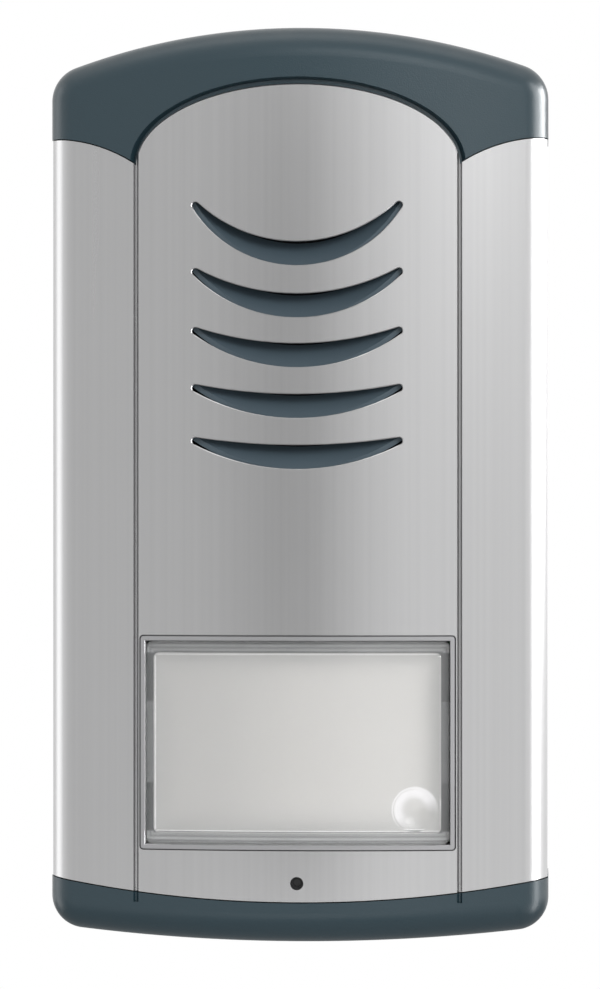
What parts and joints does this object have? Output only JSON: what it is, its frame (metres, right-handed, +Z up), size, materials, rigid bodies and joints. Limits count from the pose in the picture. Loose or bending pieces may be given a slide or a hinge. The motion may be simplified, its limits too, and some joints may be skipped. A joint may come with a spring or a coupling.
{
  "type": "gsm intercom door station",
  "caption": "Wall intercom door station: crowned aluminium front under a grey arched cap, louvred speech slots, wide framed call key over a name card, boards inside.",
  "frame": {"origin": "middle of the body on the wall plane, where the rear face of the back plate rests", "axes": "+Z up along the body, -Y out of the wall towards the visitor, +Y into the wall, +X to the right seen from the front"},
  "size_m": [0.1104, 0.037, 0.2017],
  "materials": {
    "housing_plastic": "fine spark-eroded grain, satin, blue-grey",
    "brushed_aluminium": "vertically brushed, clear anodised",
    "grille_plastic": "satin blue-grey moulding",
    "frame_plastic": "silver-grey, smooth",
    "clear_window": "clear polished polycarbonate",
    "card": "plain matt film, no print",
    "carrier_plastic": "milky diffusing plastic",
    "dark_foam": "closed-cell foam",
    "black_rubber": "soft moulded rubber",
    "board_green": "solder resist over glass fibre",
    "tinned_steel": "tin-plated sheet",
    "zinc_steel": "bright zinc plate",
    "spring_steel": "drawn wire",
    "ferrite": "sintered, dull",
    "paper_cone": "pressed black paper",
    "black_plastic": "moulded black",
    "capacitor_sleeve": "shrunk sleeve",
    "terminal_green": "moulded green",
    "antenna_film": "copper on flexible film",
    "led_white": "milky lens",
    "plunger_white": "moulded, off-white",
    "sim_white": "plain white card",
    "capsule_metal": "drawn aluminium can",
    "plate_plastic": "satin dark grey moulding",
    "screen_cloth": "fine black woven cloth",
    "lead_sleeve": "extruded black insulation"
  },
  "bodies": {
    "station": {"antenna_lead": "lead_sleeve", "back_plate": "plate_plastic", "backlight_leds": "led_white", "board_link": "black_plastic", "board_screws": "zinc_steel", "bottom_cap": "housing_plastic", "cable_grommet": "black_rubber", "capacitors": "capacitor_sleeve", "control_chips": "black_plastic", "dust_screen": "screen_cloth", "frame_gasket": "dark_foam", "front_profile": "brushed_aluminium", "grille_gasket": "dark_foam", "gsm_antenna": "antenna_film", "gsm_modem": "tinned_steel", "key_board": "board_green", "key_board_screws": "zinc_steel", "key_switch": "black_plastic", "lock_relay": "black_plastic", "main_board": "board_green", "microphone": "capsule_metal", "microphone_boot": "black_rubber", "microphone_leads": "lead_sleeve", "name_plate_frame": "frame_plastic", "return_springs": "spring_steel", "security_screw": "zinc_steel", "sim_card": "sim_white", "sim_holder": "tinned_steel", "speaker_basket": "tinned_steel", "speaker_clamps": "zinc_steel", "speaker_cone": "paper_cone", "speaker_gasket": "dark_foam", "speaker_grille": "grille_plastic", "speaker_leads": "lead_sleeve", "speaker_magnet": "ferrite", "speaker_screws": "zinc_steel", "terminal_block": "terminal_green", "terminal_screws": "zinc_steel", "top_cap": "housing_plastic", "wall_seal": "dark_foam"},
    "key": {"call_key": "clear_window", "name_card": "card", "key_carrier": "carrier_plastic"},
    "plunger": {"switch_plunger": "plunger_white"}
  },
  "joints": [
    {"name": "key_press", "type": "slide", "parent": "station", "child": "key", "axis": [0, 1, 0], "range_m": [0, 0.0012], "stiffness_N_per_m": 800, "springref_m": -0.0015, "deforming": ["return_springs"]},
    {"name": "plunger_press", "type": "slide", "parent": "station", "child": "plunger", "axis": [0, 1, 0], "range_m": [0, 0.0009]}
  ],
  "couplings": [
    {"joint": "plunger_press", "follows": "key_press", "ratio": 0.75}
  ]
}
